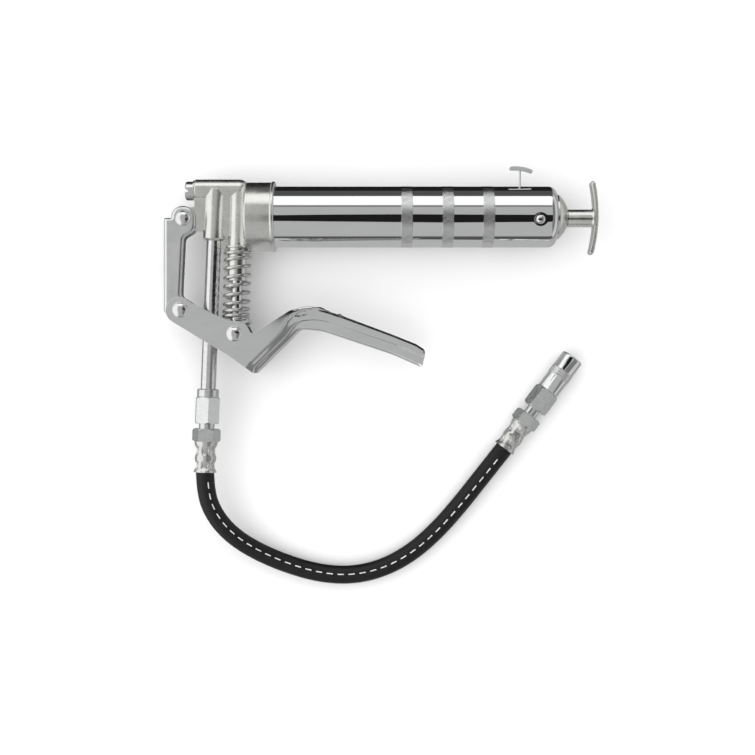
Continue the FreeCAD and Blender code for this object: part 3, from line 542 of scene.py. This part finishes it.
# How far the sheet falls inward at each distance from the finger edge: a tight fold,
# a pressed step and, further in, a shallow crease before the flat cheek.
LEVER_SECTION = [
    (0.0, 6.6), (0.15, 5.5), (0.5, 4.75), (1.1, 4.2), (2.0, 3.8), (3.2, 3.5), (4.6, 3.25),
    (6.2, 3.0), (6.45, 2.85), (6.8, 2.48), (7.15, 2.1), (7.4, 1.97), (9.5, 1.6), (11.5, 1.28),
    (13.4, 1.0), (13.7, 0.85), (14.05, 0.48), (14.4, 0.12), (14.7, 0.03), (15.4, 0.0)]
SECTION_REACH = 16.5
# The section is pinched to this share where the trigger bends down to the front plates.
PINCH, PINCH_RUN = 0.56, (-60.0, -40.0)
CURL_DROP, CURL_WIDTH, CURL_RUN = 0.5, 1.6, (-60.0, -50.0)
PRESSED_OVAL, OVAL_HALVES, OVAL_TURN = Vector((-49.6, -63.6)), (6.0, 1.5), 11.0
OVAL_DEEP, OVAL_FLAT = 0.4, 0.55


def rounded(corners, step=math.radians(6)):
    """Closed outline with an arc at each corner, and the corner number of each point."""
    points = []
    owners = []
    for index, (x, y, radius) in enumerate(corners):
        here = Vector((x, y))
        back = (Vector(corners[index - 1][:2]) - here).normalized()
        on = (Vector(corners[(index + 1) % len(corners)][:2]) - here).normalized()
        half = back.angle(on) / 2
        if radius == 0:
            points.append(here)
            owners.append(index)
            continue
        centre = here + (back + on).normalized() * (radius / math.sin(half))
        reach = radius / math.tan(half)
        first, last = here + back * reach - centre, here + on * reach - centre
        turn = first.angle_signed(last)
        count = max(2, round(abs(turn) / step))
        for k in range(count + 1):
            points.append(centre + Matrix.Rotation(-turn * k / count, 2) @ first)
            owners.append(index)
    return points, owners


def even(points, spacing):
    """The same open line with points no further apart than spacing."""
    line = [points[0]]
    for before, after in zip(points, points[1:]):
        count = max(1, math.ceil((after - before).length / spacing))
        line += [before.lerp(after, k / count) for k in range(1, count + 1)]
    return line


def nearest_on(line, point):
    """Distance from a point to an open line, and the line's nearest place."""
    best, foot = 1e9, line[0]
    for before, after in zip(line, line[1:]):
        run = after - before
        share = min(1.0, max(0.0, (point - before).dot(run) / run.length_squared))
        place = before + run * share
        if (point - place).length_squared < best:
            best, foot = (point - place).length_squared, place
    return math.sqrt(best), foot


def distance_to(line, point):
    return nearest_on(line, point)[0]


def inside(outline, point):
    """Whether a point is inside a closed outline, by how often a ray from it crosses."""
    crossed = False
    for a, b in zip(outline, outline[1:] + outline[:1]):
        if (a.y > point.y) != (b.y > point.y):
            if point.x < a.x + (point.y - a.y) * (b.x - a.x) / (b.y - a.y):
                crossed = not crossed
    return crossed


def section_drop(distance):
    for (d0, drop0), (d1, drop1) in zip(LEVER_SECTION, LEVER_SECTION[1:]):
        if distance <= d1:
            return drop0 + (drop1 - drop0) * (distance - d0) / (d1 - d0)
    return 0.0


def section_scale(x):
    return PINCH + (1 - PINCH) * smooth_step(*PINCH_RUN, x)


def lever_height(point, finger_line, upper_line):
    """Outer height of a cheek above the lever's middle plane."""
    height = LEVER_HALF - TRIGGER_NARROWER * smooth_step(*NARROWING, point.x)
    distance, foot = nearest_on(finger_line, point)
    height -= section_drop(distance / section_scale(foot.x))
    curl = 1 - smooth_step(0.0, CURL_WIDTH, distance_to(upper_line, point))
    height -= CURL_DROP * curl * smooth_step(*CURL_RUN, point.x)
    local = Matrix.Rotation(math.radians(-OVAL_TURN), 2) @ (point - PRESSED_OVAL)
    share = math.hypot(local.x / OVAL_HALVES[0], local.y / OVAL_HALVES[1])
    return height - OVAL_DEEP * (1 - smooth_step(OVAL_FLAT, 1.0, share))


def inward_of(line, depth_at):
    """Points inward of an open line, each with its depth, which depth_at gives for the
    line's point beside it."""
    for before, here, after in zip(line, line[1:], line[2:]):
        run = (after - before).normalized()
        depth = depth_at(here)
        yield here + Vector((run.y, -run.x)) * depth, depth


def cheek_points(border, finger_line, upper_line):
    """Points inside a cheek: rows along the pressed section, rings round the oval, a wide
    grid over the flat rest, and rows along the curled upper edge."""
    closed = border + border[:1]

    def clear(spot, margin):
        return inside(border, spot) and distance_to(closed, spot) > margin

    points = []
    for distance, _ in LEVER_SECTION[1:]:
        points += [
            spot for spot, reach in inward_of(finger_line, lambda p: distance * section_scale(p.x))
            if clear(spot, 0.12) and distance_to(finger_line, spot) > reach - 0.03]

    turn = Matrix.Rotation(math.radians(OVAL_TURN), 2)
    rings, spokes, ring_share = 7, 28, 0.16
    for ring in range(1, rings + 1):
        for spoke in range(spokes):
            angle = 2 * math.pi * spoke / spokes
            share = ring_share * ring
            spot = PRESSED_OVAL + turn @ Vector((math.cos(angle) * OVAL_HALVES[0] * share,
                                                 math.sin(angle) * OVAL_HALVES[1] * share))
            if clear(spot, 0.15):
                points.append(spot)

    grid = 2.5
    for column in range(-56, 14):
        for row in range(-43, -18):
            spot = Vector((column * grid, row * grid))
            if clear(spot, 1.0):
                distance, foot = nearest_on(finger_line, spot)
                if distance > SECTION_REACH * section_scale(foot.x):
                    points.append(spot)

    for depth in (0.5, 1.0, CURL_WIDTH):
        points += [spot for spot, _ in inward_of(upper_line, lambda _: depth) if clear(spot, 0.3)]
    return points


def lever_sheet():
    """Trigger pressed from one sheet: two cheeks and the folded web between them."""
    outline, owners = rounded(LEVER_UPPER + FINGER_EDGE + LEVER_FRONT)
    first, last = len(LEVER_UPPER), len(LEVER_UPPER) + len(FINGER_EDGE) - 1
    begin = [i for i, owner in enumerate(owners) if owner == first][-1]
    end = [i for i, owner in enumerate(owners) if owner == last][0]
    upper_line = even([p for p, owner in zip(outline, owners) if CURL_CORNER <= owner < first],
                      1.5)
    border = even(outline[:begin + 1], 2.0)
    web_start = len(border) - 1
    finger_line = even(outline[begin:end + 1], 0.8)
    border += finger_line[1:]
    web_end = len(border) - 1
    border += even(outline[end:] + outline[:1], 2.0)[1:-1]

    points = border + cheek_points(border, finger_line, upper_line)
    flat, _, triangles, *_ = delaunay_2d_cdt(points, [], [list(range(len(border)))], 1, 1e-4)

    heights = [lever_height(p, finger_line, upper_line) for p in flat]
    count = len(flat)
    solid = [Vector((p.x, p.y, h)) for p, h in zip(flat, heights)]
    solid += [Vector((p.x, p.y, -h)) for p, h in zip(flat, heights)]
    faces = []
    for face in triangles:
        a, b, c = (flat[i] for i in face[:3])
        upright = (b - a).cross(c - a) > 0
        near = list(face) if upright else list(reversed(face))
        faces.append(tuple(near))
        faces.append(tuple(count + i for i in reversed(near)))
    match = {(round(p.x, 4), round(p.y, 4)): i for i, p in enumerate(flat)}
    web = [match[(round(p.x, 4), round(p.y, 4))] for p in border[web_start:web_end + 1]]
    faces += [(a, b, count + b, count + a) for a, b in zip(web, web[1:])]

    made = piece("lever_sheet", solid, faces, "lever", "chrome_steel", "lever",
                 material=nickel_lever(), sharp=75)
    thicken = made.modifiers.new("sheet", "SOLIDIFY")
    thicken.thickness = LEVER_SHEET * MM
    thicken.offset = -1
    freeze(made, 50)


# ---- hose and its ends ----

def hose():
    curve = bpy.data.curves.new("grease_hose", "CURVE")
    curve.dimensions = "3D"
    spline = curve.splines.new("NURBS")
    spline.points.add(len(HOSE_ROUTE) - 1)
    for control, point in zip(spline.points, HOSE_ROUTE):
        control.co = (*at(point), 1)
    spline.order_u = 3
    spline.use_endpoint_u = True
    spline.resolution_u = 12
    made = bpy.data.objects.new("grease_hose", curve)
    bpy.context.scene.collection.objects.link(made)
    bpy.context.view_layer.update()
    line_mesh = bpy.data.meshes.new_from_object(made)
    line = [v.co.copy() for v in line_mesh.vertices]
    bpy.data.meshes.remove(line_mesh)
    curve.bevel_depth = HOSE_R * MM
    curve.bevel_resolution = 12
    curve.use_fill_caps = True
    curve.materials.append(MATERIALS["hose_rubber"])
    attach(made, "head")
    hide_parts("hose")
    hose_marks(line)
    tuple(at(HOSE_ROUTE[0]))


def hose_marks(line):
    """Short plain dashes printed along the hose, following its own line."""
    lengths = [0.0]
    for before, after in zip(line, line[1:]):
        lengths.append(lengths[-1] + (after - before).length)

    def on_line(distance):
        index = next(i for i in range(1, len(line))
                     if lengths[i] >= distance or i == len(line) - 1)
        share = (distance - lengths[index - 1]) / (lengths[index] - lengths[index - 1])
        point = line[index - 1].lerp(line[index], share)
        return point, (line[index] - line[index - 1]).normalized()

    dash, gap, width, thick, segments = 4.2 * MM, 3.2 * MM, 0.75 * MM, 0.05 * MM, 4
    bare_end = 8 * MM
    first_roll, roll_over = -24, 30
    points = []
    faces = []
    start = bare_end
    while start + dash < lengths[-1] - bare_end:
        rings = []
        for step in range(segments + 1):
            middle, ahead = on_line(start + dash * step / segments)
            up, side = across(ahead)
            roll = math.radians(first_roll + roll_over * (start / lengths[-1]))
            ring = []
            for radius, part in ((HOSE_R * MM + thick, -1), (HOSE_R * MM + thick, 1),
                                 (HOSE_R * MM - thick, 1), (HOSE_R * MM - thick, -1)):
                angle = roll + part * width / 2 / (HOSE_R * MM)
                ring.append(middle + circle(up, side, radius, angle))
            rings.append([p / MM - ORIGIN_TO_AXIS for p in ring])
        ring_points, ring_faces = loft(rings)
        faces += [tuple(len(points) + i for i in face) for face in ring_faces]
        points += ring_points
        start += dash + gap
    piece("hose_marks", points, faces, "head", "hose_rubber", material=print_ink())


CRIMP_JAWS = 8
CRIMP_WAISTS, WAIST_HALF = (6.0, 15.7), 2.3
BULGE_AT, BULGE_HALF = 11.0, 2.0
# Metal stands in ridges between the jaws, and sinks under them.
RIDGE_RISE, BULGE_SINK, WAIST_SINK = 0.62, 0.28, 0.12
FERRULE_SIDES = 160


def ferrule(name, node, face, along):
    """Shell crimped onto the hose by eight jaws at two waists, flared at its mouth."""
    rows = [(0, 7.6), (1.4, 7.55), (2.6, 7.2), (4.2, 6.35), (6.0, 5.75), (7.8, 6.2), (9.4, 6.85),
            (11.1, 7.05), (12.7, 6.8), (14.2, 6.1), (15.7, 5.75), (17.3, 6.25), (18.8, 7.1),
            (FERRULE_LENGTH, 7.65)]
    finer = []
    for (s0, r0), (s1, r1) in zip(rows, rows[1:]):
        finer += [(s0 + (s1 - s0) * k / 4, r0 + (r1 - r0) * k / 4) for k in range(4)]
    bore = HOSE_R + 0.05
    profile = finer + [rows[-1], (FERRULE_LENGTH, bore), (HOSE_SEATED, bore),
                       (HOSE_SEATED, FERRULE_BORE_R), (0, FERRULE_BORE_R)]

    def relief(distance, angle, radius):
        if radius == FERRULE_BORE_R:
            return 0
        jaw = abs(math.cos(CRIMP_JAWS / 2 * angle + 0.4))
        ridge = max(0.0, 1 - jaw * 2.2) ** 0.8
        near = max(math.exp(-((distance - waist) / WAIST_HALF) ** 2) for waist in CRIMP_WAISTS)
        bulge = math.exp(-((distance - BULGE_AT) / BULGE_HALF) ** 2)
        return (RIDGE_RISE * near * ridge - BULGE_SINK * bulge * (1 - jaw)
                - WAIST_SINK * near * jaw)

    points, faces = lathe(face, along, profile, FERRULE_SIDES, relief)
    piece(name, points, faces, "head", "crimp_zinc", node, sharp=50)


SLEEVE_BAND, SLEEVE_BAND_WIDTH = SLEEVE_LENGTH - 17.0, 6.0
SLEEVE_TEETH, SLEEVE_RISE = 62, 0.2
SLEEVE_SIDES = 6 * SLEEVE_TEETH


def coupler_sleeve(base):
    """Chromed sleeve with one knurled band round its middle."""
    band, width = SLEEVE_BAND, SLEEVE_BAND_WIDTH
    steps = 44
    outer = [(0.05, SLEEVE_R - 0.5), (0.2, SLEEVE_R - 0.2), (0.55, SLEEVE_R)]
    outer += [(band + width * step / steps, SLEEVE_R) for step in range(steps + 1)]
    tip = 6
    turn = [math.pi / 2 * step / tip for step in range(tip + 1)]
    outer += [(SLEEVE_LENGTH - 1.2 + 1.2 * math.sin(a), SLEEVE_R - 1.0 + math.cos(a))
              for a in turn]
    inner = [(SLEEVE_LENGTH, 4.3), (SLEEVE_LENGTH - 0.5, 3.8), (SLEEVE_LENGTH - 2.5, 3.8),
             (SLEEVE_LENGTH - 2.5, 5.2), (13.0, 5.2), (13.0, 5.55), (0.05, 5.55)]

    def relief(distance, angle, radius):
        if radius < SLEEVE_R or not band < distance < band + width:
            return 0
        return knurl_height(distance, angle, band, width, SLEEVE_R, SLEEVE_TEETH, SLEEVE_RISE)

    points, faces = lathe(base, FAR, outer + inner, SLEEVE_SIDES, relief)
    made = piece("coupler_sleeve_knurled", points, faces, "sleeve", "chrome_steel",
                 "coupler_sleeve")
    made.data.materials.append(chrome_knurl())
    start = at(base)
    for polygon in made.data.polygons:
        if band < (polygon.center - start).dot(FAR) / MM < band + width:
            polygon.material_index = 1


# ---- handle ----

HANDLE_STEPS, HANDLE_SIDES = 40, 28
# Stations crowd toward the bar's ends by the first power; the second squares its section.
END_CROWDING, SQUARENESS = 1.6, 3.2


def t_handle():
    """Hub and cross bar cast as one; the bar bows toward the barrel at its ends."""
    radius = (HANDLE_HALF ** 2 + HANDLE_SAG ** 2) / (2 * HANDLE_SAG)
    spread = math.asin(HANDLE_HALF / radius)
    tilt = Matrix.Rotation(math.radians(HANDLE_TILT), 4, "Z")
    middle = Vector((HANDLE_X, HUB_LOW, 0))
    rings = []
    for step in range(HANDLE_STEPS + 1):
        share = 2 * step / HANDLE_STEPS - 1
        share = math.copysign(1 - (1 - abs(share)) ** END_CROWDING, share)
        angle = spread * share
        centre = Vector((radius * (math.cos(angle) - 1), radius * math.sin(angle), 0))
        outward = Vector((math.cos(angle), math.sin(angle), 0))
        end = min(1.0, max(1e-3, (1 - abs(share)) * HANDLE_HALF / (HANDLE_THICK / 2)))
        ease = math.sqrt(1 - (1 - end) ** 2)
        half_thick = HANDLE_THICK / 2 * max(0.06, ease)
        half_deep = HANDLE_DEPTH / 2 - (1 - ease) * HANDLE_THICK / 2
        ring = []
        for k in range(HANDLE_SIDES):
            angle = 2 * math.pi * k / HANDLE_SIDES
            c, s = math.cos(angle), math.sin(angle)
            flat = (abs(c) ** SQUARENESS + abs(s) ** SQUARENESS) ** (-1 / SQUARENESS)
            ring.append(middle + tilt @ (centre + outward * half_thick * c * flat
                                         + Z * half_deep * s * flat))
        rings.append(ring)
    piece("t_handle_bar", *loft(rings), "follower", "zinc_casting", "t_handle", sharp=60)

    length = HUB_END - CAP_TOP
    flare = [(length - 1.6 + 0.4 * k, HUB_R + 0.12 * k ** 1.5) for k in range(5)]
    profile = [(0.05, HUB_R - 0.6), (0.2, HUB_R - 0.2), (0.6, HUB_R)] + flare + [
        (length, 3.0), (0.05, 3.0)]
    points, faces = lathe(Vector((CAP_TOP, HUB_LOW, 0)), X, profile, 72)
    piece("t_handle_hub", points, faces, "follower", "zinc_casting", "t_handle")


# ---- stage, lights and camera ----

CAMERA_HIGH = 850.0
CAMERA_Y = -105.2
CAMERA_LENS = 61.8


def camera():
    data = bpy.data.cameras.new("camera")
    data.sensor_width = 36
    data.lens = CAMERA_LENS
    made = bpy.data.objects.new("camera", data)
    made.location = at((0, CAMERA_Y, CAMERA_HIGH))
    bpy.context.scene.collection.objects.link(made)
    bpy.context.scene.camera = made


def floor():
    shader = Shader("studio_floor")
    tone = shader.noise(60.0, 2.0)
    shader.join(shader.ramp(tone, (0.80, 0.80, 0.80), (0.82, 0.82, 0.82)),
                shader.surface.inputs["Base Color"])
    shader.put("Roughness", 0.9)
    mesh = bpy.data.meshes.new("studio_floor")
    size = 4.0
    corners = [(-size, -size, 0), (size, -size, 0), (size, size, 0), (-size, size, 0)]
    mesh.from_pydata(corners, [], [(0, 1, 2, 3)])
    made = bpy.data.objects.new("studio_floor", mesh)
    made.data.materials.append(shader.made)
    bpy.context.scene.collection.objects.link(made)
    made.visible_glossy = False


# What polished metal sees of the studio, by the direction's angle from straight up in
# degrees: (from, to, brightness). The first list is the view across the barrel, toward
# +Y, and the second is the view along it, toward +X.
BANDS_ACROSS = [
    (-180, -100.5, 0.47), (-100.5, -85, 0.09), (-85, 33, 0.46), (33, 38.5, 0.10),
    (38.5, 79, 1.15), (79, 111, 0.08), (111, 180, 0.012)]
BANDS_ALONG = [
    (-180, -128, 0.45), (-128, -120, 0.06), (-120, -100, 0.40), (-100, -30, 1.05),
    (-30, 22, 0.46), (22, 62, 0.20), (62, 108, 0.60), (108, 116, 0.06), (116, 180, 0.42)]
BAND_EDGE = 1.2
# The share of a direction that runs along the barrel, from where the first list fades
# into the second to where only the second is seen.
ALONG_FROM, ALONG_TO = 0.24, 0.40


def band_ramp(tree, angle, bands):
    place = tree.nodes.new("ShaderNodeMapRange")
    place.inputs["From Min"].default_value = -math.pi
    place.inputs["From Max"].default_value = math.pi
    ramp = tree.nodes.new("ShaderNodeValToRGB")
    elements = ramp.color_ramp.elements
    stops = []
    for start, end, level in bands:
        stops += [(start + BAND_EDGE, level), (end - BAND_EDGE, level)]
    for index, (degrees, level) in enumerate(stops):
        position = (degrees + 180) / 360
        element = elements[index] if index < 2 else elements.new(position)
        element.position = position
        element.color = (level, level, level, 1)
    tree.links.new(angle, place.inputs["Value"])
    tree.links.new(place.outputs["Result"], ramp.inputs["Fac"])
    return ramp.outputs["Color"]


def world():
    made = bpy.data.worlds.new("studio")
    made.use_nodes = True
    tree = made.node_tree
    direction = tree.nodes.new("ShaderNodeTexCoord").outputs["Generated"]
    parts = tree.nodes.new("ShaderNodeSeparateXYZ")
    tree.links.new(direction, parts.inputs["Vector"])

    def math_node(kind, first, second):
        node = tree.nodes.new("ShaderNodeMath")
        node.operation = kind
        for socket, value in zip(node.inputs, (first, second)):
            if isinstance(value, (int, float)):
                socket.default_value = value
            elif value is not None:
                tree.links.new(value, socket)
        return node.outputs["Value"]

    along, sideways, upward = parts.outputs
    across_bands = band_ramp(tree, math_node("ARCTAN2", sideways, upward), BANDS_ACROSS)
    along_bands = band_ramp(tree, math_node("ARCTAN2", along, upward), BANDS_ALONG)
    size_x = math_node("ABSOLUTE", along, None)
    size_y = math_node("ABSOLUTE", sideways, None)
    # The small term keeps the share near 0 where the direction is close to straight up.
    both = math_node("ADD", math_node("ADD", size_x, size_y), 0.02)
    share = math_node("DIVIDE", size_x, both)
    choice = tree.nodes.new("ShaderNodeMapRange")
    choice.interpolation_type = "SMOOTHSTEP"
    choice.inputs["From Min"].default_value = ALONG_FROM
    choice.inputs["From Max"].default_value = ALONG_TO
    tree.links.new(share, choice.inputs["Value"])
    mix = tree.nodes.new("ShaderNodeMix")
    mix.data_type = "RGBA"
    tree.links.new(choice.outputs["Result"], mix.inputs["Factor"])
    tree.links.new(across_bands, mix.inputs["A"])
    tree.links.new(along_bands, mix.inputs["B"])
    tree.links.new(mix.outputs["Result"], tree.nodes["Background"].inputs["Color"])
    bpy.context.scene.world = made


def reflector(name, corners, level):
    """A flat card that only polished surfaces see."""
    shader = bpy.data.materials.new(name)
    shader.use_nodes = True
    tree = shader.node_tree
    tree.nodes.clear()
    glow = tree.nodes.new("ShaderNodeEmission")
    glow.inputs["Color"].default_value = (level, level, level, 1)
    out = tree.nodes.new("ShaderNodeOutputMaterial")
    tree.links.new(glow.outputs["Emission"], out.inputs["Surface"])
    mesh = bpy.data.meshes.new(name)
    mesh.from_pydata([at(c) for c in corners], [], [tuple(range(len(corners)))])
    made = bpy.data.objects.new(name, mesh)
    made.data.materials.append(shader)
    bpy.context.scene.collection.objects.link(made)
    made.visible_camera = False
    made.visible_diffuse = False
    made.visible_shadow = False
    made.visible_transmission = False


def lights():
    card = 150.0
    reflector("dark_card", [(-84, -56, card), (-20, -64, card), (50, -74, card), (115, -68, card),
                            (175, -60, card), (175, 0, card), (90, 4, card), (20, 8, card),
                            (-40, 4, card), (-84, -2, card)], 0.012)
    for name, place, size, power in (("overhead", (0.1, 0.1, 1.0), 3.2, 30.0),
                                     ("fill", (-0.9, -0.7, 1.1), 2.4, 12.0)):
        data = bpy.data.lights.new(name, "AREA")
        data.size = size
        data.energy = power
        made = bpy.data.objects.new(name, data)
        made.location = place
        made.rotation_mode = "QUATERNION"
        made.rotation_quaternion = (-Vector(place)).to_track_quat("-Z", "Y")
        bpy.context.scene.collection.objects.link(made)
        made.visible_camera = False
        made.visible_glossy = False


def main():
    bpy.context.scene.view_settings.view_transform = "Standard"
    camera()
    world()
    lights()
    floor()
    paint_cad_nodes()
    barrel()
    springs()
    ferrule("inlet_ferrule_crimped", "inlet_ferrule", leaning(PIPE_FOOT, PIPE_LEAN, FITTING_FOOT),
            PIPE_DOWN)
    far_face = FAR_MOUTH + FAR * FERRULE_LENGTH
    ferrule("outlet_ferrule_crimped", "outlet_ferrule", far_face, -FAR)
    coupler_sleeve(far_face + FAR * (FAR_FITTING + COUPLER_NECK + COUPLER_HEX))
    hose()
    t_handle()
    lever_sheet()


main()
